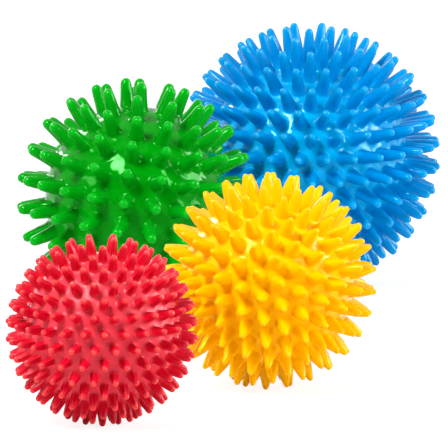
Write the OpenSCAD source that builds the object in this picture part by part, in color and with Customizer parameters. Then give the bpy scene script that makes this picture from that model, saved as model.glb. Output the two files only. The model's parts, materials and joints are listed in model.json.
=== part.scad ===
// Set of four hollow PVC spiky sensory balls in graded sizes, standing on a floor at z = 0.
// Each ball is one moulded shell with rows of spikes, closed by a pull-out air valve plug.

/* [Blue ball] */
// Diameter over the spike tips
blue_d = 100; // [90:1:115]
// Length of a spike
blue_spike_l = 13; // [10:0.5:15]
// Diameter of a spike above its flared foot
blue_spike_d = 5.8; // [4.6:0.1:6]
// Diameter of the rounded spike tip
blue_tip_d = 3.4; // [2.4:0.1:4.2]
// How far the flank of a spike swells past a straight cone
blue_belly = 0.1; // [0.05:0.05:0.4]
// Bands between the rows of spikes, from pole to pole
blue_bands = 17; // [14:1:17]
// Angle between spikes along a row, in degrees
blue_pitch = 12.8; // [12.6:0.2:16]

/* [Green ball] */
// Diameter over the spike tips
green_d = 90; // [80:1:105]
// Length of a spike
green_spike_l = 11; // [9:0.5:13]
// Diameter of a spike above its flared foot
green_spike_d = 5.9; // [4.8:0.1:6.6]
// Diameter of the rounded spike tip
green_tip_d = 4.8; // [3.4:0.1:5.2]
// How far the flank of a spike swells past a straight cone
green_belly = 0.1; // [0.05:0.05:0.4]
// Bands between the rows of spikes, from pole to pole
green_bands = 12; // [10:1:13]
// Angle between spikes along a row, in degrees
green_pitch = 16.6; // [15:0.2:20]

/* [Yellow ball] */
// Diameter over the spike tips
yellow_d = 80; // [72:1:95]
// Length of a spike
yellow_spike_l = 8.6; // [7:0.2:10]
// Diameter of a spike above its flared foot
yellow_spike_d = 5.5; // [4.4:0.1:5.7]
// Diameter of the rounded spike tip
yellow_tip_d = 1.9; // [1.5:0.1:3]
// How far the flank of a spike swells past a straight cone
yellow_belly = 0.35; // [0.05:0.05:0.5]
// Bands between the rows of spikes, from pole to pole
yellow_bands = 15; // [12:1:15]
// Angle between spikes along a row, in degrees
yellow_pitch = 14.2; // [14:0.2:18]

/* [Red ball] */
// Diameter over the spike tips
red_d = 70; // [62:1:84]
// Length of a spike
red_spike_l = 6.8; // [5.4:0.2:8]
// Diameter of a spike above its flared foot
red_spike_d = 4.3; // [3.4:0.1:4.5]
// Diameter of the rounded spike tip
red_tip_d = 2.2; // [1.6:0.1:3]
// How far the flank of a spike swells past a straight cone
red_belly = 0.15; // [0.05:0.05:0.4]
// Bands between the rows of spikes, from pole to pole
red_bands = 17; // [14:1:17]
// Angle between spikes along a row, in degrees
red_pitch = 13.4; // [13:0.2:17]

/* [Shell and valve] */
// Wall of the hollow balls
wall = 2.2; // [1.6:0.1:3]
// How far the foot of a spike flares out where it runs into the skin
flare_w = 0.32; // [0.2:0.02:0.4]
// Diameter of the valve hole
port_d = 3; // [2.4:0.1:3.6]
// Running clearance round the plug, on the radius
port_clearance = 0.05; // [0.02:0.01:0.1]
// Depth of the thickened boss behind the valve hole, from the skin
boss_l = 7; // [5:0.5:9]
// Thickness of the boss round the valve hole
boss_wall = 2.5; // [1.5:0.1:3.5]
// Diameter of the plug's head
plug_head_d = 5; // [4.2:0.1:5.4]
// Thickness of the plug's head, which lies flush in its seat
plug_head_h = 1; // [0.6:0.1:1.4]
// How far the plug's pin stands out behind the boss
plug_nose_l = 1.2; // [0.6:0.1:2]
// Diameter of the round mark that the mould's vent leaves at the lower pole
vent_d = 4; // [3:0.1:4.6]
// Depth of the vent mark
vent_depth = 0.4; // [0.3:0.05:0.8]

/* [Layout of the set] */
// Free space between the green and blue balls
green_blue_gap = 9; // [3:1:40]
// Free space between the yellow and green balls
yellow_green_gap = 97; // [10:1:120]
// Free space between the red and yellow balls
red_yellow_gap = 27; // [10:1:60]

/* [Hidden] */

// Bearings on the floor from each ball to the next larger one, in degrees from +X
red_yellow_bearing = 53.8;
yellow_green_bearing = 105.6;
green_blue_bearing = 51.4;

// How each ball lies: its axis nods to the back, leans to the right and is turned about itself,
// in degrees
blue_nod = 0;
blue_lean = 0;
blue_turn = 1.5;
green_nod = 4;
green_lean = 10;
green_turn = 1.5;
yellow_nod = 3;
yellow_lean = 24;
yellow_turn = 4;
red_nod = 0;
red_lean = 0;
red_turn = 2.3;

// Count of a row of spikes: even where the parity is 0, odd where it is 1. With a stagger of 1 the
// parity changes from row to row, so that the rows are staggered at the front.
blue_parity = 0;
blue_stagger = 1;
green_parity = 0;
green_stagger = 0;
yellow_parity = 0;
yellow_stagger = 1;
red_parity = 1;
red_stagger = 1;

// Height of the flared foot, as a share of its width
flare_h_share = 2;
// Depth of a spike's root in the wall, as a share of the wall
root_share = 0.4;
// Depth in the wall at which the flare starts, as a share of its width
dip_share = 0.4;
// Radius of the small flat that the mould leaves on a tip, as a share of the tip's radius
tip_flat_share = 0.25;
// Height of the widest point of the swelling, as a share of the flank
belly_height_share = 0.45;
// Chamfer of the plug's nose and head, as shares of the pin's radius and the head's thickness
nose_share = 0.4;
head_round_share = 0.5;
// Thumbnail slot under the head's rim, as shares of the head's radius and thickness
nail_width_share = 0.8;
nail_reach_share = 0.35;
nail_h_share = 0.45;
// Overrun of the cuts, as a share of the wall
overrun_share = 0.5;

// Straight steps that round off a tip, and facets of the drawn curves
tip_steps = 3;
spike_facets = 24;
skin_facets = 96;
valve_facets = 48;

overrun = overrun_share * wall;
port_r = port_d / 2;
pin_r = port_r - port_clearance;
head_r = plug_head_d / 2;
seat_r = head_r + port_clearance;
seat_depth = plug_head_h + port_clearance;
boss_r = port_r + boss_wall;

// A ball is its sizes, its pattern of rows and how it lies
blue = [
  blue_d, blue_spike_l, blue_spike_d, blue_tip_d, blue_belly,
  blue_bands, blue_pitch, blue_parity, blue_stagger, blue_nod, blue_lean, blue_turn
];
green = [
  green_d, green_spike_l, green_spike_d, green_tip_d, green_belly,
  green_bands, green_pitch, green_parity, green_stagger, green_nod, green_lean, green_turn
];
yellow = [
  yellow_d, yellow_spike_l, yellow_spike_d, yellow_tip_d, yellow_belly,
  yellow_bands, yellow_pitch, yellow_parity, yellow_stagger, yellow_nod, yellow_lean, yellow_turn
];
red = [
  red_d, red_spike_l, red_spike_d, red_tip_d, red_belly,
  red_bands, red_pitch, red_parity, red_stagger, red_nod, red_lean, red_turn
];

function tip_reach(b) = b[0] / 2;
function core_r(b) = b[0] / 2 - b[1];
function spike_r(b) = b[2] / 2;
function tip_r(b) = b[3] / 2;
function belly(b) = b[4];
function bands(b) = b[5];
function pitch(b) = b[6];
function row_parity(b, row) = (b[7] + b[8] * row) % 2;
function nod(b) = b[9];
function lean(b) = b[10];
function turn(b) = b[11];

// Rows lie at even steps from pole to pole. The poles stay bare, and on a small ball the first and
// last rows keep clear of the valve's seat. Each row has a gap on the meridian 0, at the back.
function foot_r(b) = spike_r(b) + flare_w;
function clear_angle(b) = asin((foot_r(b) + seat_r + port_clearance) / core_r(b));
function pole_angle(b) = max(180 / bands(b), clear_angle(b));
function row_angle(b, row) = pole_angle(b) + (row - 1) * (180 - 2 * pole_angle(b)) / (bands(b) - 2);
function row_count(b, row) = let (
    odd = row_parity(b, row),
    ideal = 360 * sin(row_angle(b, row)) / pitch(b)
  )
  2 * round((ideal - odd) / 2) + odd;
function spikes(b) = [
  for (row = [1:bands(b) - 1]) let (count = row_count(b, row))
    for (i = [0:count - 1]) [row_angle(b, row), (i + 0.5) * 360 / count]
];

// A spike's direction on its ball, and on the floor after the ball is turned
front_turn = 90;
function on_ball(s) = [sin(s[0]) * cos(s[1]), sin(s[0]) * sin(s[1]), cos(s[0])];
function about_z(v, a) = [v.x * cos(a) - v.y * sin(a), v.x * sin(a) + v.y * cos(a), v.z];
function about_y(v, a) = [v.x * cos(a) + v.z * sin(a), v.y, v.z * cos(a) - v.x * sin(a)];
function about_x(v, a) = [v.x, v.y * cos(a) - v.z * sin(a), v.y * sin(a) + v.z * cos(a)];
function on_floor(b, v) = about_y(about_x(about_z(v, front_turn + turn(b)), -nod(b)), lean(b));

// How far the spikes reach from the ball's centre along an axis, by the lowest and highest tip
function along(b, axis) = [for (s = spikes(b)) on_floor(b, on_ball(s)) * axis];
function reach_up(b, axis) = (tip_reach(b) - tip_r(b)) * max(along(b, axis)) + tip_r(b);
function reach_down(b, axis) = reach_up(b, -axis);
stand_axis = [0, 0, 1];
function stand_h(b) = reach_down(b, stand_axis);

// Centres on the floor, from the red ball to the blue one, then moved so that the set is centred
function step_to(a, b, gap, bearing) =
  (tip_reach(a) + tip_reach(b) + gap) * [cos(bearing), sin(bearing)];
red_yellow_step = step_to(red, yellow, red_yellow_gap, red_yellow_bearing);
yellow_green_step = step_to(yellow, green, yellow_green_gap, yellow_green_bearing);
green_blue_step = step_to(green, blue, green_blue_gap, green_blue_bearing);
chain = [
  [0, 0],
  red_yellow_step,
  red_yellow_step + yellow_green_step,
  red_yellow_step + yellow_green_step + green_blue_step
];
balls = [red, yellow, green, blue];
function middle(axis, i) = let (
    ends = [for (k = [0:len(balls) - 1]) [
      chain[k][i] - reach_down(balls[k], axis), chain[k][i] + reach_up(balls[k], axis)
    ]]
  )
  (min([for (e = ends) e[0]]) + max([for (e = ends) e[1]])) / 2;
set_middle = [middle([1, 0, 0], 0), middle([0, 1, 0], 1)];
function centre(k) = let (p = chain[k] - set_middle) [p.x, p.y, stand_h(balls[k])];
red_at = centre(0);
yellow_at = centre(1);
green_at = centre(2);
blue_at = centre(3);

// Half outline of a spike: root, flared foot, swelling flank and rounded tip with its small flat
function spike_outline(b) = let (
    foot = spike_r(b),
    tip = tip_r(b),
    skin = sqrt(core_r(b) * core_r(b) - foot_r(b) * foot_r(b)),
    foot_z = skin + flare_h_share * flare_w,
    root = root_share * wall,
    dip = dip_share * flare_w,
    last = acos(tip_flat_share),
    tip_z = tip_reach(b) - tip * sin(last),
    first = atan((foot - tip) / (tip_z - foot_z)),
    belly_r = foot + (tip - foot) * belly_height_share + belly(b),
    belly_z = foot_z + (tip_z - foot_z) * belly_height_share,
    arc = [for (i = [0:tip_steps]) let (a = first + (last - first) * i / tip_steps)
      [tip * cos(a), tip_z + tip * sin(a)]]
  )
  concat([[0, skin - root], [foot_r(b), skin - root], [foot_r(b), skin - dip], [foot, foot_z],
    [belly_r, belly_z]], arc, [[0, tip_reach(b)]]);

// The seam of a revolved spike lies across the meridian that it stands on
seam_turn = 90;
module spike(b) {
  rotate([0, 0, seam_turn]) rotate_extrude($fn = spike_facets) polygon(spike_outline(b));
}

// Puts a ball's own frame, with the valve at its upper pole, in its place on the floor
module stand(b, at) {
  translate(at) rotate([0, lean(b), 0]) rotate([-nod(b), 0, 0])
    rotate([0, 0, front_turn + turn(b)]) children();
}

module hollow_skin(b) {
  difference() {
    sphere(r = core_r(b), $fn = skin_facets);
    sphere(r = core_r(b) - wall, $fn = skin_facets);
  }
}

// Boss behind the valve hole, from inside the wall down into the hollow
module valve_boss(b) {
  translate([0, 0, core_r(b) - boss_l])
    cylinder(r = boss_r, h = boss_l - root_share * wall, $fn = valve_facets);
}

// Hole for the plug's pin, with the seat that the head lies in
module valve_port(b) {
  translate([0, 0, core_r(b) - boss_l - overrun])
    cylinder(r = port_r, h = boss_l + overrun, $fn = valve_facets);
  translate([0, 0, core_r(b) - seat_depth])
    cylinder(r = seat_r, h = seat_depth + overrun, $fn = valve_facets);
}

// Shallow flat mark of the mould's vent, in the bare lower pole
module vent_mark(b) {
  translate([0, 0, -core_r(b) - overrun])
    cylinder(d = vent_d, h = overrun + vent_depth, $fn = valve_facets);
}

module shell(b, at) {
  stand(b, at) {
    difference() {
      union() {
        hollow_skin(b);
        valve_boss(b);
      }
      valve_port(b);
      vent_mark(b);
    }
    for (s = spikes(b)) rotate([0, s[0], s[1]]) spike(b);
  }
}

// Pull-out plug: a pin with a chamfered nose, and a low rounded head with a thumbnail slot
module valve_plug(b, at) {
  nose = nose_share * pin_r;
  pin_end = core_r(b) - boss_l - plug_nose_l;
  seat_z = core_r(b) - seat_depth + port_clearance;
  head_top = seat_z + plug_head_h;
  rounding = head_round_share * plug_head_h;
  nail_w = nail_width_share * head_r;
  nail_at = [-nail_w / 2, head_r * (1 - nail_reach_share), head_top - nail_h_share * plug_head_h];
  stand(b, at) difference() {
    rotate_extrude($fn = valve_facets) polygon([
      [0, pin_end], [pin_r - nose, pin_end], [pin_r, pin_end + nose], [pin_r, seat_z],
      [head_r, seat_z], [head_r, head_top - rounding], [head_r - rounding, head_top], [0, head_top]
    ]);
    translate(nail_at) cube([nail_w, head_r, plug_head_h]);
  }
}

module blue_shell() { color("#0a8cd6") shell(blue, blue_at); }
module blue_valve_plug() { color("#efeee8") valve_plug(blue, blue_at); }
module green_shell() { color("#0b9d18") shell(green, green_at); }
module green_valve_plug() { color("#efeee8") valve_plug(green, green_at); }
module yellow_shell() { color("#f9bb05") shell(yellow, yellow_at); }
module yellow_valve_plug() { color("#efeee8") valve_plug(yellow, yellow_at); }
module red_shell() { color("#de2a3c") shell(red, red_at); }
module red_valve_plug() { color("#efeee8") valve_plug(red, red_at); }

blue_shell();
blue_valve_plug();
green_shell();
green_valve_plug();
yellow_shell();
yellow_valve_plug();
red_shell();
red_valve_plug();
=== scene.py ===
"""Set of four hollow PVC spiky sensory balls with pull-out valve plugs, dressed for a studio picture.

Every ball is modelled as one welded skin. Its spikes are laid out as rows of points, wrapped in a hull,
opened into round feet and drawn up by insets, and the valve seat and vent mark are sunk into its poles.
"""

import json
import logging
import math
from collections.abc import Callable
from dataclasses import dataclass, field
from enum import Enum
from typing import ClassVar

import bmesh
import bpy
from mathutils import Matrix, Vector, kdtree


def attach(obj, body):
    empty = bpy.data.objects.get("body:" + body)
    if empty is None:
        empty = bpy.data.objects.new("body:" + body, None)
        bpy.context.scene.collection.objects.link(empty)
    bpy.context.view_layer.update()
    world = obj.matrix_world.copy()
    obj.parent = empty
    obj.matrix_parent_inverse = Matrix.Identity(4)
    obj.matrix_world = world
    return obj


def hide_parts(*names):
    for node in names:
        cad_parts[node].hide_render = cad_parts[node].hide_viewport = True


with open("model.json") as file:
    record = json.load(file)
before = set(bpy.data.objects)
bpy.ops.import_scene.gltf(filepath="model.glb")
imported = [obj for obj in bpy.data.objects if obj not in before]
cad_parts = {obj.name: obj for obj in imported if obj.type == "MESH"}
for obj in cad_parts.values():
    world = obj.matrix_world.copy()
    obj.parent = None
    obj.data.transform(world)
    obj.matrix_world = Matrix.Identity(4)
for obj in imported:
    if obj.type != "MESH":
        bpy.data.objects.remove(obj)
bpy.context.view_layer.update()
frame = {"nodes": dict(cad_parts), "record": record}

MM = 0.001
# Nearly all the values of a noise pattern lie between these
NOISE_LOW = 0.3
NOISE_HIGH = 0.7
# Least share of Z in the normal of a flat face at a pole
FLAT = 0.9999
# Largest angle between faces that count as one plane, in degrees
ONE_PLANE = 1.0
# Furthest that the middle of a pole's face lies from the ball's axis, in millimetres
ON_AXIS = 0.1
# Furthest that the direction of a foot's middle lies from that of its spike
NEAR_SPIKE = 0.02
# Skin whose normal has less than this share along its crown is folded over
FOLDED = 0.5
# Turn of a ball about its axis that brings the gap in each of its rows to the back, in degrees
FRONT_TURN = 90.0
log = logging.getLogger("sensory_balls")


class Rows(Enum):
    """How the spikes of one row stand to those of the next."""

    IN_LINE = 0
    STAGGERED = 1


class Flank(Enum):
    """Side of a spike as it comes out of its mould."""

    PLAIN = 1
    FLUTED = 2


def linear(code: str) -> tuple[float, float, float, float]:
    """Turns an sRGB hex colour into linear values.

    Args:
        code: Colour as six hex digits.

    Returns:
        Linear red, green and blue, with an alpha of 1.
    """
    # The curve of the sRGB standard
    parts = [int(code[i : i + 2], 16) / 255 for i in (0, 2, 4)]
    flat = [c / 12.92 if c <= 0.04045 else ((c + 0.055) / 1.055) ** 2.4 for c in parts]
    return (flat[0], flat[1], flat[2], 1.0)


def add_node(
    tree: bpy.types.NodeTree,
    kind: str,
    settings: dict[str | int, object],
    links: dict[str | int, bpy.types.NodeSocket],
) -> bpy.types.Node:
    """Adds a node with its settings and incoming links.

    Args:
        tree: Node tree that gets the node.
        kind: Type name of the node.
        settings: Attributes of the node by name, and socket values by name or number.
        links: Output sockets by the name or number of the input that each goes to.

    Returns:
        The new node.
    """
    node = tree.nodes.new(kind)
    for key, value in settings.items():
        if isinstance(key, str) and hasattr(node, key):
            setattr(node, key, value)
        else:
            node.inputs[key].default_value = value
    for key, output in links.items():
        tree.links.new(output, node.inputs[key])
    return node


def add_noise(
    tree: bpy.types.NodeTree,
    place: bpy.types.NodeSocket,
    width: float,
    detail: float,
    roughness: float,
) -> bpy.types.NodeSocket:
    """Adds a cloudy pattern.

    Args:
        tree: Node tree that gets the pattern.
        place: Output with the place on the piece, in metres.
        width: Width of a cloud in millimetres.
        detail: Number of finer layers.
        roughness: Strength of each finer layer.

    Returns:
        Output with the values of the pattern.
    """
    noise = add_node(
        tree,
        "ShaderNodeTexNoise",
        {"Scale": 1 / (width * MM), "Detail": detail, "Roughness": roughness},
        {"Vector": place},
    )
    return noise.outputs["Fac"]


def add_spread(
    tree: bpy.types.NodeTree, pattern: bpy.types.NodeSocket, low: float, high: float
) -> bpy.types.NodeSocket:
    """Adds a node that spreads a cloudy pattern between two values.

    Args:
        tree: Node tree that gets the node.
        pattern: Output with the values of the pattern.
        low: Value in the dark of the pattern.
        high: Value in the light of the pattern.

    Returns:
        Output with the spread values.
    """
    spread = add_node(
        tree,
        "ShaderNodeMapRange",
        {"From Min": NOISE_LOW, "From Max": NOISE_HIGH, "To Min": low, "To Max": high},
        {"Value": pattern},
    )
    return spread.outputs["Result"]


def blank_material(piece: bpy.types.Object, name: str) -> bpy.types.NodeTree:
    """Gives a piece one new material that has no nodes yet.

    Args:
        piece: Mesh object that gets the material.
        name: Name of the material.

    Returns:
        The empty node tree of the material.
    """
    material = bpy.data.materials.new(name)
    material.use_nodes = True
    material.node_tree.nodes.clear()
    piece.data.materials.clear()
    piece.data.materials.append(material)
    return material.node_tree


def deselect() -> None:
    """Leaves every object unselected."""
    bpy.ops.object.select_all(action="DESELECT")


def floor_place(name: str) -> Vector:
    """Finds where a ball stands on the floor.

    Args:
        name: Name of the ball.

    Returns:
        The place under the ball's centre, in millimetres.
    """
    places = {mount["name"]: mount["pos_m"] for mount in frame["record"]["mounts"]}
    return Vector(places[f"{name}_rest"]) / MM


@dataclass(frozen=True)
class MouldedPvc:
    """Soft PVC, rotation-moulded in one colour, with a skin as smooth or satin as its mould.

    The colours run from the skin between the spikes over their flanks to the tips. Where they differ,
    they are painted light and shade: lighter or darker skin, flanks and tips that stand in for sheen,
    highlights and shade between the spikes. The gleam is the hue that the pigment under the surface
    gives reflections.
    """

    name: str
    skin: str
    flank: str
    tip: str
    gleam: str
    roughness: tuple[float, float]
    specular: float
    peel_mm: float = 3.0
    peel_depth_mm: float = 0.05
    peel_strength: float = 0.35
    cloud_mm: float = 9.0
    cloud_shift: float = 0.09
    skin_end: float = 0.02
    flank_span: tuple[float, float] = (0.25, 0.75)
    refraction: float = 1.53
    scatter: float = 0.06
    scatter_mm: float = 1.6
    scatter_colours: tuple[float, float, float] = (1.0, 0.8, 0.6)

    def dress(self, piece: bpy.types.Object, ball: "SpikyBall") -> None:
        """Gives a ball's skin its plastic.

        Args:
            piece: The ball's mesh.
            ball: The ball, for the place of its centre and the reach of its spikes.
        """
        tree = blank_material(piece, self.name)
        place = add_node(tree, "ShaderNodeTexCoord", {}, {}).outputs["Object"]
        # Pigment clouds in the plastic, which shift the colours and the gloss by a little
        clouds = add_noise(tree, place, self.cloud_mm, detail=3.0, roughness=0.55)
        # Slow waves of the mould's skin, which make the reflections of the lamps a little uneven
        waves = add_noise(tree, place, self.peel_mm, detail=2.0, roughness=0.5)
        relief = add_node(
            tree,
            "ShaderNodeBump",
            {"Strength": self.peel_strength, "Distance": self.peel_depth_mm * MM},
            {"Height": waves},
        )
        plastic = add_node(
            tree,
            "ShaderNodeBsdfPrincipled",
            {
                "IOR": self.refraction,
                "Specular IOR Level": self.specular,
                "Specular Tint": linear(self.gleam),
                "Subsurface Weight": self.scatter,
                "Subsurface Radius": self.scatter_colours,
                "Subsurface Scale": self.scatter_mm * MM,
            },
            {
                "Base Color": self._painted_light_ramp(tree, self._rise(tree, place, clouds, ball)),
                "Roughness": add_spread(tree, clouds, *self.roughness),
                "Normal": relief.outputs["Normal"],
            },
        )
        add_node(tree, "ShaderNodeOutputMaterial", {}, {"Surface": plastic.outputs["BSDF"]})

    def _rise(
        self,
        tree: bpy.types.NodeTree,
        place: bpy.types.NodeSocket,
        clouds: bpy.types.NodeSocket,
        ball: "SpikyBall",
    ) -> bpy.types.NodeSocket:
        """Adds the nodes that tell how high a place lies on its spike.

        Args:
            tree: Node tree of the plastic.
            place: Output with the place on the ball, in metres.
            clouds: Output of the pigment clouds, which shift the height by a little.
            ball: The ball.

        Returns:
            Output that is about 0 on the skin and 1 at the tips.
        """
        centre = tuple(ball.centre * MM)
        away = add_node(tree, "ShaderNodeVectorMath", {"operation": "DISTANCE", 1: centre}, {0: place})
        rise = add_node(
            tree,
            "ShaderNodeMapRange",
            {"From Min": ball.core * MM, "From Max": ball.reach * MM},
            {"Value": away.outputs["Value"]},
        )
        shift = add_spread(tree, clouds, -self.cloud_shift, self.cloud_shift)
        level = add_node(
            tree, "ShaderNodeMath", {"operation": "ADD"}, {0: rise.outputs["Result"], 1: shift}
        )
        return level.outputs["Value"]

    def _painted_light_ramp(self, tree: bpy.types.NodeTree, rise: bpy.types.NodeSocket) -> bpy.types.NodeSocket:
        """Adds the ramp of painted light and shade from the skin to the tips.

        Args:
            tree: Node tree of the plastic.
            rise: Output that tells how high a place lies on its spike.

        Returns:
            Output with the colour.
        """
        # The ramp's colours are painted light and shade, which change with the height on a spike
        tint = add_node(tree, "ShaderNodeValToRGB", {}, {"Fac": rise})
        ramp = tint.color_ramp
        ramp.elements[0].position = self.skin_end
        ramp.elements[0].color = linear(self.skin)
        ramp.elements[1].position = 1.0
        ramp.elements[1].color = linear(self.tip)
        for share in self.flank_span:
            ramp.elements.new(share).color = linear(self.flank)
        return tint.outputs["Color"]


@dataclass(frozen=True)
class HardPlugPvc:
    """Harder white PVC of the valve plugs, with the faint cloudy haze of a small moulding."""

    name: str
    cloud: str
    body: str
    haze_mm: float = 0.4
    haze_depth_mm: float = 0.05
    haze_strength: float = 0.2
    refraction: float = 1.54
    roughness: float = 0.35

    def dress(self, piece: bpy.types.Object) -> None:
        """Gives a plug its plastic.

        Args:
            piece: The plug's mesh.
        """
        tree = blank_material(piece, self.name)
        place = add_node(tree, "ShaderNodeTexCoord", {}, {}).outputs["Object"]
        haze = add_noise(tree, place, self.haze_mm, detail=2.0, roughness=0.5)
        tint = add_node(tree, "ShaderNodeValToRGB", {}, {"Fac": haze})
        tint.color_ramp.elements[0].color = linear(self.cloud)
        tint.color_ramp.elements[1].color = linear(self.body)
        relief = add_node(
            tree,
            "ShaderNodeBump",
            {"Strength": self.haze_strength, "Distance": self.haze_depth_mm * MM},
            {"Height": haze},
        )
        plastic = add_node(
            tree,
            "ShaderNodeBsdfPrincipled",
            {"IOR": self.refraction, "Roughness": self.roughness},
            {"Base Color": tint.outputs["Color"], "Normal": relief.outputs["Normal"]},
        )
        add_node(tree, "ShaderNodeOutputMaterial", {}, {"Surface": plastic.outputs["BSDF"]})


@dataclass
class SpikyBall:
    """One moulded ball: its skin with rows of spikes, its valve seat and its vent mark.

    Lengths are in millimetres and angles in degrees, in the ball's own frame with the valve on top.
    The belly is how far a spike's flank swells past a straight cone, the flare how far its foot runs
    out, and the fillet the size of the hollow above the foot. Edges sharper than crisp are shaded so.
    """

    # Rings in the hollow above a foot, as shares of the fillet: how far in and how far up each lies
    HOLLOW: ClassVar[tuple[tuple[float, float], ...]] = ((0.55, 0.25), (0.92, 1.0))
    # Rings of the rounded tip, as shares of its radius: half width and distance under the top
    DOME: ClassVar[tuple[tuple[float, float], ...]] = ((1.0, 1.0), (0.8, 0.4), (0.4, 0.05))
    # Steps of the inset that end on a fluted ring
    FLUTED_STEPS: ClassVar[tuple[int, ...]] = (1, 2)
    # Sides of most of the feet
    FOOT_SIDES: ClassVar[int] = 12

    name: str
    finish: MouldedPvc
    diameter: float
    spike_length: float
    spike_width: float
    tip_width: float
    belly: float
    flare: float
    fillet: float
    bands: int
    pitch: float
    first_parity: int
    rows: Rows
    turn: float
    nod: float = 0.0
    lean: float = 0.0
    flank: Flank = Flank.PLAIN
    crisp: float = 75.0
    flute_share: float = 0.24
    cut_share: float = 0.25
    port_radius: float = 1.5
    seat_radius: float = 2.55
    seat_depth: float = 1.05
    seat_edge: float = 0.12
    bore_depth: float = 9.0
    vent_radius: float = 2.0
    vent_depth: float = 0.4
    vent_edge: float = 0.1
    vent_ring: float = 0.9
    rim_sides: int = 16
    rim_margin: float = 0.01
    tree: kdtree.KDTree = field(init=False, repr=False)

    def __post_init__(self) -> None:
        """Notes where the spikes point, to find the faces under them."""
        directions = self.directions()
        self.tree = kdtree.KDTree(len(directions))
        for i, direction in enumerate(directions):
            self.tree.insert(direction, i)
        self.tree.balance()

    @property
    def reach(self) -> float:
        """Radius over the spike tips."""
        return self.diameter / 2

    @property
    def core(self) -> float:
        """Radius of the skin between the spikes."""
        return self.reach - self.spike_length

    @property
    def tilt(self) -> Matrix:
        """Turn that brings the ball from its own frame to how it lies.

        Returns:
            The turn about the ball's centre.
        """
        spin = Matrix.Rotation(math.radians(FRONT_TURN + self.turn), 4, "Z")
        nod = Matrix.Rotation(math.radians(-self.nod), 4, "X")
        lean = Matrix.Rotation(math.radians(self.lean), 4, "Y")
        return lean @ nod @ spin

    @property
    def centre(self) -> Vector:
        """Place of the ball's centre, as high as its lowest tips need to stand on the floor.

        Returns:
            The place in the frame of the set, in millimetres.
        """
        tilt = self.tilt
        tip = self.tip_width / 2
        drops = [tip - (self.reach - tip) * (tilt @ out).z for out in self.directions()]
        return floor_place(self.name) + Vector((0, 0, max(drops)))

    def row_angle(self, row: int) -> float:
        """Angle of a row from the upper pole, in radians."""
        return row * math.pi / self.bands

    def row_count(self, row: int) -> int:
        """Number of spikes in a row, odd or even as the ball's pattern asks.

        Args:
            row: Number of the row, from the upper pole.

        Returns:
            The number of spikes.
        """
        odd = (self.first_parity + self.rows.value * row) % 2
        ideal = math.tau * math.sin(self.row_angle(row)) / math.radians(self.pitch)
        return 2 * round((ideal - odd) / 2) + odd

    def directions(self) -> list[Vector]:
        """Unit directions of all the spikes.

        Returns:
            One vector for each spike, row by row from the upper pole.
        """
        found = []
        for row in range(1, self.bands):
            polar = self.row_angle(row)
            count = self.row_count(row)
            for i in range(count):
                turn = (i + 0.5) * math.tau / count
                flat = math.sin(polar)
                found.append(Vector((flat * math.cos(turn), flat * math.sin(turn), math.cos(polar))))
        return found

    def build(self) -> bpy.types.Object:
        """Models the ball and puts it in its place.

        Returns:
            The ball's mesh object, at the origin with its place in its mesh.
        """
        piece = self._lay_rows()
        self._wrap(piece)
        self._open_feet(piece)
        self._round_feet(piece)
        self._fill_skin(piece)
        self._raise_spikes(piece)
        self._sink(piece, 1, self._valve_steps())
        self._sink(piece, -1, self._vent_steps())
        self._smooth()
        self._place(piece)
        return piece

    def _height(self, radius: float) -> float:
        """Height over the ball's centre of a circle that lies on the skin."""
        return math.sqrt(self.core**2 - radius**2)

    def _lay_rows(self) -> bpy.types.Object:
        """Lays out a circle of points for each row and for the rims at the poles.

        Returns:
            The new mesh object, in edit mode.
        """
        deselect()
        # The sides of a rim, and not its corners, lie at its radius
        half_side = math.pi / self.rim_sides
        circles = [
            (self.rim_sides, self.seat_radius / math.cos(half_side), self._height(self.seat_radius), 0.0),
            (self.rim_sides, self.vent_radius / math.cos(half_side), -self._height(self.vent_radius), 0.0),
        ]
        for row in range(1, self.bands):
            polar = self.row_angle(row)
            count = self.row_count(row)
            # A new circle starts on the Y axis, so half a step is taken from there
            start = math.pi / count - math.pi / 2
            circles.append((count, self.core * math.sin(polar), self.core * math.cos(polar), start))
        # The new mesh starts as a circle that is taken away again
        bpy.ops.mesh.primitive_circle_add()
        piece = bpy.context.active_object
        piece.name = f"{self.name}_skin"
        bpy.ops.object.mode_set(mode="EDIT")
        bpy.ops.mesh.delete(type="VERT")
        for count, radius, height, start in circles:
            bpy.ops.mesh.primitive_circle_add(
                vertices=count, radius=radius, location=(0, 0, height), rotation=(0, 0, start)
            )
        return piece

    def _wrap(self, piece: bpy.types.Object) -> None:
        """Wraps the points in a skin of triangles and makes each pole one flat face.

        Args:
            piece: The ball's mesh, in edit mode.
        """
        bpy.ops.mesh.select_all(action="SELECT")
        bpy.ops.mesh.convex_hull(join_triangles=False)
        self._select_faces(piece, lambda face: abs(face.normal.z) > FLAT)
        bpy.ops.mesh.dissolve_limited(angle_limit=math.radians(ONE_PLANE))

    def _open_feet(self, piece: bpy.types.Object) -> None:
        """Opens every point of a row into the small face that a spike will stand on.

        Args:
            piece: The ball's mesh, in edit mode.
        """
        top = self._height(self.seat_radius) - self.rim_margin
        bottom = self.rim_margin - self._height(self.vent_radius)
        bpy.ops.mesh.select_mode(type="VERT")
        bpy.ops.mesh.select_all(action="DESELECT")
        skin = bmesh.from_edit_mesh(piece.data)
        for vertex in skin.verts:
            vertex.select = bottom < vertex.co.z < top
        skin.select_flush(True)
        bmesh.update_edit_mesh(piece.data)
        bpy.ops.mesh.bevel(offset=self.cut_share * self.spike_width, segments=1, affect="VERTICES")
        self._select_feet(piece)
        skin = bmesh.from_edit_mesh(piece.data)
        sides = [e for e in skin.edges if any(f.select for f in e.link_faces)]
        bmesh.ops.subdivide_edges(skin, edges=sides, cuts=1, use_grid_fill=False)
        bmesh.update_edit_mesh(piece.data)

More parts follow.
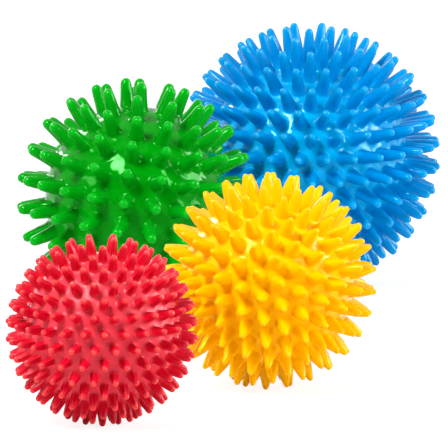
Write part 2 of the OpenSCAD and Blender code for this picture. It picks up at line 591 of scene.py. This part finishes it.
    def _select_faces(
        self, piece: bpy.types.Object, wanted: Callable[[bmesh.types.BMFace], bool]
    ) -> None:
        """Selects the faces that a test picks, and no others.

        Args:
            piece: The ball's mesh, in edit mode.
            wanted: Test of a face.
        """
        bpy.ops.mesh.select_mode(type="FACE")
        bpy.ops.mesh.select_all(action="DESELECT")
        skin = bmesh.from_edit_mesh(piece.data)
        for face in skin.faces:
            face.select = wanted(face)
        bmesh.update_edit_mesh(piece.data)

    def _nearest(self, face: bmesh.types.BMFace) -> Vector:
        """Direction of the spike that lies nearest to a face."""
        return self.tree.find(face.calc_center_median().normalized())[0]

    def _is_foot(self, face: bmesh.types.BMFace) -> bool:
        """Tells whether the middle of a face lies under a spike."""
        return (self._nearest(face) - face.calc_center_median().normalized()).length < NEAR_SPIKE

    def _select_feet(self, piece: bpy.types.Object) -> None:
        """Selects the faces that the spikes stand on."""
        self._select_faces(piece, self._is_foot)

    def _round_feet(self, piece: bpy.types.Object) -> None:
        """Makes each foot an even polygon of the foot's width, with its corners on the skin.

        Args:
            piece: The ball's mesh, in edit mode.
        """
        self._select_feet(piece)
        radius, height = self._profile()[0]
        skin = bmesh.from_edit_mesh(piece.data)
        for foot in [f for f in skin.faces if f.select]:
            out = self._nearest(foot)
            side = out.orthogonal().normalized()
            across = out.cross(side)
            corners = list(foot.verts)
            step = math.tau / len(corners)
            turns = [math.atan2(v.co.dot(across), v.co.dot(side)) for v in corners]
            drift = [(t - turns[0] - k * step + math.pi) % math.tau - math.pi for k, t in enumerate(turns)]
            first = turns[0] + sum(drift) / len(corners)
            for k, vertex in enumerate(corners):
                angle = first + k * step
                vertex.co = out * height + (side * math.cos(angle) + across * math.sin(angle)) * radius
        bmesh.update_edit_mesh(piece.data)

    def _fill_skin(self, piece: bpy.types.Object) -> None:
        """Crowns the skin between the feet, so that it follows the ball and not the flat hull.

        Args:
            piece: The ball's mesh, in edit mode.
        """
        self._select_faces(piece, lambda face: not self._is_foot(face) and abs(face.normal.z) < FLAT)
        count = len(bmesh.from_edit_mesh(piece.data).verts)
        bpy.ops.mesh.poke(center_mode="MEDIAN")
        skin = bmesh.from_edit_mesh(piece.data)
        skin.verts.ensure_lookup_table()
        crowns = skin.verts[count:]
        for crown in crowns:
            crown.co = crown.co.normalized() * self.core
        skin.normal_update()
        least = FOLDED * self.core
        folded = [v for v in crowns if any(f.normal.dot(v.co) < least for f in v.link_faces)]
        self._unfold(piece, folded)

    def _unfold(self, piece: bpy.types.Object, crowns: list[bmesh.types.BMVert]) -> None:
        """Takes crowns away where the skin folds over between close feet, and leaves it plain there.

        Args:
            piece: The ball's mesh, in edit mode.
            crowns: The crowns to take away.
        """
        skin = bmesh.from_edit_mesh(piece.data)
        bmesh.ops.dissolve_verts(skin, verts=crowns)
        bmesh.update_edit_mesh(piece.data)
        self._select_feet(piece)
        skin = bmesh.from_edit_mesh(piece.data)
        plain = [f for f in skin.faces if not f.select and len(f.verts) > 3 and abs(f.normal.z) < FLAT]
        bmesh.ops.triangulate(skin, faces=plain, ngon_method="BEAUTY")
        bmesh.update_edit_mesh(piece.data)

    def _profile(self) -> list[tuple[float, float]]:
        """Half widths of the rings that a spike is drawn up through, and their reach from the centre.

        Returns:
            Pairs of half width and reach, from the foot to the tip.
        """
        flank = self.spike_width / 2
        tip = self.tip_width / 2
        rim = flank + self.flare
        skin = self._height(rim)
        hollow = [(rim - inward * self.fillet, skin + up * self.fillet) for inward, up in self.HOLLOW]
        swell = (flank + tip) / 2 + self.belly
        middle = (skin + self.reach - tip) / 2
        dome = [(wide * tip, self.reach - under * tip) for wide, under in self.DOME]
        return [(rim, skin), *hollow, (swell, middle), *dome]

    def _raise_spikes(self, piece: bpy.types.Object) -> None:
        """Draws all the spikes up together, ring by ring, and presses their flutes in.

        Args:
            piece: The ball's mesh, in edit mode.
        """
        self._select_feet(piece)
        rings = self._profile()
        # An inset is measured square to the sides of a foot, and a ring's half width to its corners
        square = math.cos(math.pi / self.FOOT_SIDES)
        grooves: list[int] = []
        for step, ((wide, low), (slim, high)) in enumerate(zip(rings, rings[1:])):
            bpy.ops.mesh.inset(
                use_individual=True,
                use_even_offset=True,
                thickness=(wide - slim) * square,
                depth=high - low,
            )
            if self.flank is Flank.FLUTED and step in self.FLUTED_STEPS:
                grooves += self._every_other(piece)
        self._press(piece, grooves)

    def _every_other(self, piece: bpy.types.Object) -> list[int]:
        """Numbers of every other corner of the selected faces.

        Args:
            piece: The ball's mesh, in edit mode.

        Returns:
            The corners' numbers in the mesh.
        """
        skin = bmesh.from_edit_mesh(piece.data)
        skin.verts.index_update()
        return [v.index for f in skin.faces if f.select for v in list(f.verts)[::2]]

    def _press(self, piece: bpy.types.Object, corners: list[int]) -> None:
        """Presses corners towards the axes of their spikes, which leaves ridges between them.

        Args:
            piece: The ball's mesh, in edit mode.
            corners: The corners' numbers.
        """
        skin = bmesh.from_edit_mesh(piece.data)
        skin.verts.ensure_lookup_table()
        for corner in (skin.verts[i] for i in corners):
            out = self.tree.find(corner.co.normalized())[0]
            corner.co = corner.co.lerp(out * corner.co.dot(out), self.flute_share)
        bmesh.update_edit_mesh(piece.data)

    def _valve_steps(self) -> list[tuple[float, float]]:
        """Steps of the valve's seat and bore.

        Returns:
            Pairs of inset and depth, from the rim to the end of the bore.
        """
        edge = self.seat_edge
        ledge = self.seat_radius - self.port_radius
        bore = self.bore_depth - self.seat_depth
        # Narrow steps on both sides of each corner keep the shading of the corners tight
        return [
            (0.0, edge),
            (0.0, self.seat_depth - 2 * edge),
            (0.0, edge),
            (edge, 0.0),
            (ledge - 2 * edge, 0.0),
            (edge, 0.0),
            (0.0, edge),
            (0.0, bore - 2 * edge),
            (0.0, edge),
            (edge, 0.0),
        ]

    def _vent_steps(self) -> list[tuple[float, float]]:
        """Steps of the vent mark.

        Returns:
            Pairs of inset and depth, from the rim to the floor of the mark.
        """
        edge = self.vent_edge
        return [
            (0.0, edge),
            (0.0, self.vent_depth - 2 * edge),
            (0.0, edge),
            (edge, 0.0),
            (self.vent_ring, 0.0),
        ]

    def _sink(self, piece: bpy.types.Object, end: int, steps: list[tuple[float, float]]) -> None:
        """Sinks the flat face at a pole in steps.

        Args:
            piece: The ball's mesh, in edit mode.
            end: 1 for the upper pole and -1 for the lower one.
            steps: Pairs of inset and depth.
        """

        def at_pole(face: bmesh.types.BMFace) -> bool:
            """Tells whether a face is the flat one at this pole."""
            middle = face.calc_center_median()
            return face.normal.z * end > FLAT and middle.z * end > 0 and middle.xy.length < ON_AXIS

        self._select_faces(piece, at_pole)
        for inset, depth in steps:
            if inset:
                bpy.ops.mesh.inset(thickness=inset, depth=0, use_even_offset=True)
            else:
                bpy.ops.mesh.extrude_region_move(
                    TRANSFORM_OT_translate={"value": (0, 0, -end * depth)}
                )

    def _smooth(self) -> None:
        """Turns the faces outwards and shades the skin round, with crisp edges at the valve."""
        bpy.ops.mesh.select_all(action="SELECT")
        bpy.ops.mesh.normals_make_consistent(inside=False)
        bpy.ops.object.mode_set(mode="OBJECT")
        bpy.ops.object.shade_smooth_by_angle(angle=math.radians(self.crisp))

    def _place(self, piece: bpy.types.Object) -> None:
        """Turns the ball as it lies and sets it on the floor, in metres.

        Args:
            piece: The ball's mesh.
        """
        piece.matrix_world = Matrix.Translation(self.centre * MM) @ self.tilt @ Matrix.Scale(MM, 4)
        bpy.ops.object.transform_apply(location=True, rotation=True, scale=True)

    def dress(self, piece: bpy.types.Object) -> None:
        """Colours the ball and ties it to its body.

        Args:
            piece: The ball's mesh.
        """
        self.finish.dress(piece, self)
        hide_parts(f"{self.name}_shell")
        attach(piece, f"{self.name}_ball")


@dataclass(frozen=True)
class Softbox:
    """A square lamp with a diffuser, as its reflections on the plastic show it.

    A window that lights nothing is only mirrored by the glossy skins. Sizes are in metres and the
    power is in watts.
    """

    name: str
    towards: tuple[float, float, float]
    distance: float
    size: float
    power: float
    lights: bool = True


@dataclass
class Studio:
    """Pale floor, white surroundings, soft lamps and the camera, in metres and degrees."""

    aim: tuple[float, float, float] = (-0.0013, 0.0, 0.0467)
    elevation: float = 8.5
    distance: float = 7.5
    view_width: float = 0.1659
    sensor_mm: float = 36.0
    sight: float = 100.0
    floor_size: float = 9.0
    floor_paper: str = "f0f0f0"
    floor_glow: float = 0.84
    floor_shade: float = 0.3
    tent: float = 0.5
    flag_size: float = 9.0
    flag_at: tuple[float, float, float] = (0.0, -2.2, 4.4)
    flag_cloth: str = "0c0c0c"

    def _shown(self, tree: bpy.types.NodeTree) -> bpy.types.NodeSocket:
        """Tells rays that show the background, straight or in a mirror or glass, from those that light.

        Args:
            tree: Node tree that asks.

        Returns:
            Output that is 1 for a ray of the camera or of a glossy or clear surface, and 0 for others.
        """
        ray = add_node(tree, "ShaderNodeLightPath", {}, {})
        seen = add_node(
            tree,
            "ShaderNodeMath",
            {"operation": "MAXIMUM"},
            {0: ray.outputs["Is Camera Ray"], 1: ray.outputs["Is Transmission Ray"]},
        )
        shown = add_node(
            tree,
            "ShaderNodeMath",
            {"operation": "MAXIMUM"},
            {0: seen.outputs["Value"], 1: ray.outputs["Is Glossy Ray"]},
        )
        return shown.outputs["Value"]

    def floor(self) -> None:
        """Lays a floor that is white to the camera and keeps a soft shadow."""
        deselect()
        bpy.ops.mesh.primitive_plane_add(size=self.floor_size)
        ground = bpy.context.active_object
        ground.name = "studio_floor"
        tree = blank_material(ground, "white_floor")
        grey = (self.floor_shade, self.floor_shade, self.floor_shade, 1.0)
        paper = add_node(tree, "ShaderNodeBsdfDiffuse", {"Color": linear(self.floor_paper)}, {})
        shade = add_node(tree, "ShaderNodeBsdfDiffuse", {"Color": grey}, {})
        glow = add_node(tree, "ShaderNodeEmission", {"Strength": self.floor_glow}, {})
        both = add_node(
            tree, "ShaderNodeAddShader", {}, {0: shade.outputs["BSDF"], 1: glow.outputs["Emission"]}
        )
        mix = add_node(
            tree,
            "ShaderNodeMixShader",
            {},
            {"Fac": self._shown(tree), 1: paper.outputs["BSDF"], 2: both.outputs["Shader"]},
        )
        add_node(tree, "ShaderNodeOutputMaterial", {}, {"Surface": mix.outputs["Shader"]})

    def surroundings(self) -> None:
        """Makes the surroundings white where they are seen, and a softer tent as light."""
        world = bpy.data.worlds.new("light_tent")
        bpy.context.scene.world = world
        world.use_nodes = True
        tree = world.node_tree
        tree.nodes.clear()
        paint = (1.0, 1.0, 1.0, 1.0)
        light = add_node(tree, "ShaderNodeBackground", {"Color": paint, "Strength": self.tent}, {})
        white = add_node(tree, "ShaderNodeBackground", {"Color": paint, "Strength": 1.0}, {})
        mix = add_node(
            tree,
            "ShaderNodeMixShader",
            {},
            {
                "Fac": self._shown(tree),
                1: light.outputs["Background"],
                2: white.outputs["Background"],
            },
        )
        add_node(tree, "ShaderNodeOutputWorld", {}, {"Surface": mix.outputs["Shader"]})

    def flag(self) -> None:
        """Hangs a black cloth on the camera's side, which the glossy plastic mirrors as deep colour.

        The camera looks through it.
        """
        deselect()
        upright = (math.radians(90), 0, 0)
        bpy.ops.mesh.primitive_plane_add(size=self.flag_size, location=self.flag_at, rotation=upright)
        cloth = bpy.context.active_object
        cloth.name = "studio_flag"
        cloth.visible_camera = False
        tree = blank_material(cloth, "black_cloth")
        weave = add_node(tree, "ShaderNodeBsdfDiffuse", {"Color": linear(self.flag_cloth)}, {})
        add_node(tree, "ShaderNodeOutputMaterial", {}, {"Surface": weave.outputs["BSDF"]})

    def lamp(self, box: Softbox) -> None:
        """Hangs one softbox.

        Args:
            box: The softbox.
        """
        data = bpy.data.lights.new(box.name, "AREA")
        data.shape = "SQUARE"
        data.size = box.size
        data.energy = box.power
        lamp = bpy.data.objects.new(box.name, data)
        bpy.context.scene.collection.objects.link(lamp)
        towards = Vector(box.towards).normalized()
        lamp.location = Vector(self.aim) + towards * box.distance
        lamp.rotation_euler = (-towards).to_track_quat("-Z", "Y").to_euler()
        lamp.visible_diffuse = box.lights

    def camera(self) -> None:
        """Sets up the camera, far off with a long lens."""
        data = bpy.data.cameras.new("studio_camera")
        data.sensor_width = self.sensor_mm
        data.lens = self.sensor_mm * self.distance / self.view_width
        data.clip_end = self.sight
        camera = bpy.data.objects.new("studio_camera", data)
        bpy.context.scene.collection.objects.link(camera)
        tilt = math.radians(self.elevation)
        back = Vector((0.0, -math.cos(tilt), math.sin(tilt)))
        camera.location = Vector(self.aim) + back * self.distance
        camera.rotation_euler = (-back).to_track_quat("-Z", "Y").to_euler()
        bpy.context.scene.camera = camera


# PVC from a polished mould: the skin mirrors the windows in small sharp patches, and the colour stays
# deep between them. The skin is painted a lighter cyan than the spikes, a painted reflection, and the
# flanks darker, painted shade
GLOSSY_BLUE = MouldedPvc(
    name="moulded_pvc_glossy_blue",
    skin="00a6de",
    flank="0090d4",
    tip="0098dc",
    gleam="90d8ff",
    roughness=(0.05, 0.1),
    specular=0.24,
)
# The same polish on the green, which mirrors paler patches of its own hue. Its skin between the spikes
# is painted darker, painted shade, and its tips lighter, a painted highlight
GLOSSY_GREEN = MouldedPvc(
    name="moulded_pvc_glossy_green",
    skin="008c0a",
    flank="009810",
    tip="02a418",
    gleam="80f888",
    roughness=(0.05, 0.1),
    specular=0.17,
)
# PVC from a mould that is a little worn: softer glints, and one golden colour from skin to tip
GLOSSY_YELLOW = MouldedPvc(
    name="moulded_pvc_glossy_yellow",
    skin="fdbc00",
    flank="fbbe00",
    tip="f9b800",
    gleam="ffdc68",
    roughness=(0.1, 0.16),
    specular=0.14,
)
# PVC from a blasted mould: a satin skin with a broad salmon sheen, crimson flanks and coral tips. The
# salmon is partly rendered sheen and partly a painted sheen in the skin's colour, and the coral of the
# tips is a painted highlight
SATIN_RED = MouldedPvc(
    name="moulded_pvc_satin_red",
    skin="da3646",
    flank="cc0226",
    tip="e63e3c",
    gleam="ffb4b4",
    roughness=(0.34, 0.44),
    specular=0.26,
    peel_mm=0.9,
)
# Stiffer PVC from a small mould: a faint haze in off-white with a low shine, so that plugs read as dots
WHITE_PLUG = HardPlugPvc(name="moulded_pvc_hard_white", cloud="dedcd4", body="f4f3ee")

BALLS = [
    SpikyBall(
        name="blue",
        finish=GLOSSY_BLUE,
        diameter=100,
        spike_length=13,
        spike_width=5.4,
        tip_width=3.0,
        belly=0.15,
        flare=0.5,
        fillet=0.6,
        bands=17,
        pitch=12.8,
        first_parity=0,
        rows=Rows.STAGGERED,
        turn=1.5,
    ),
    SpikyBall(
        name="green",
        finish=GLOSSY_GREEN,
        diameter=90,
        spike_length=11,
        spike_width=5.3,
        tip_width=4.0,
        belly=0.1,
        flare=1.15,
        fillet=1.0,
        bands=12,
        pitch=16.6,
        first_parity=0,
        rows=Rows.IN_LINE,
        turn=1.5,
        nod=4,
        lean=10,
    ),
    SpikyBall(
        name="yellow",
        finish=GLOSSY_YELLOW,
        diameter=80,
        spike_length=8.6,
        spike_width=5.4,
        tip_width=2.3,
        belly=0.35,
        flare=0.35,
        fillet=0.45,
        bands=15,
        pitch=14.2,
        first_parity=0,
        rows=Rows.STAGGERED,
        turn=4,
        nod=3,
        lean=24,
    ),
    SpikyBall(
        name="red",
        finish=SATIN_RED,
        diameter=70,
        spike_length=6.8,
        spike_width=4.2,
        tip_width=2.4,
        belly=0.1,
        flare=0.35,
        fillet=0.5,
        bands=17,
        pitch=13.4,
        first_parity=1,
        rows=Rows.STAGGERED,
        turn=2.3,
        flank=Flank.FLUTED,
        crisp=40,
    ),
]

SOFTBOXES = [
    Softbox("overhead_front", (-0.38, -0.54, 0.74), distance=1.1, size=0.3, power=12.0),
    Softbox("upper_right_front", (0.62, -0.64, 0.45), distance=1.2, size=0.24, power=5.0),
    Softbox("right_side", (0.94, -0.28, 0.21), distance=1.2, size=0.4, power=6.0),
    Softbox("right_window", (0.92, 0.04, 0.37), distance=1.3, size=0.7, power=30.0, lights=False),
    Softbox("overhead_window", (-0.42, -0.45, 0.78), distance=1.2, size=0.4, power=22.0, lights=False),
    Softbox("back_left_rim", (-0.44, 0.82, 0.37), distance=1.2, size=0.4, power=5.0),
    Softbox("left_side", (-0.9, -0.3, 0.3), distance=1.4, size=0.3, power=3.0),
]


def main() -> None:
    """Builds the studio and the balls in order."""
    logging.basicConfig(level=logging.INFO, format="%(message)s")
    bpy.context.scene.view_settings.view_transform = "Standard"
    studio = Studio()
    studio.floor()
    studio.surroundings()
    studio.flag()
    studio.camera()
    for box in SOFTBOXES:
        studio.lamp(box)
    for ball in BALLS:
        piece = ball.build()
        ball.dress(piece)
        WHITE_PLUG.dress(frame["nodes"][f"{ball.name}_valve_plug"])
        log.info("%s: %d faces", piece.name, len(piece.data.polygons))


if __name__ == "__main__":
    main()
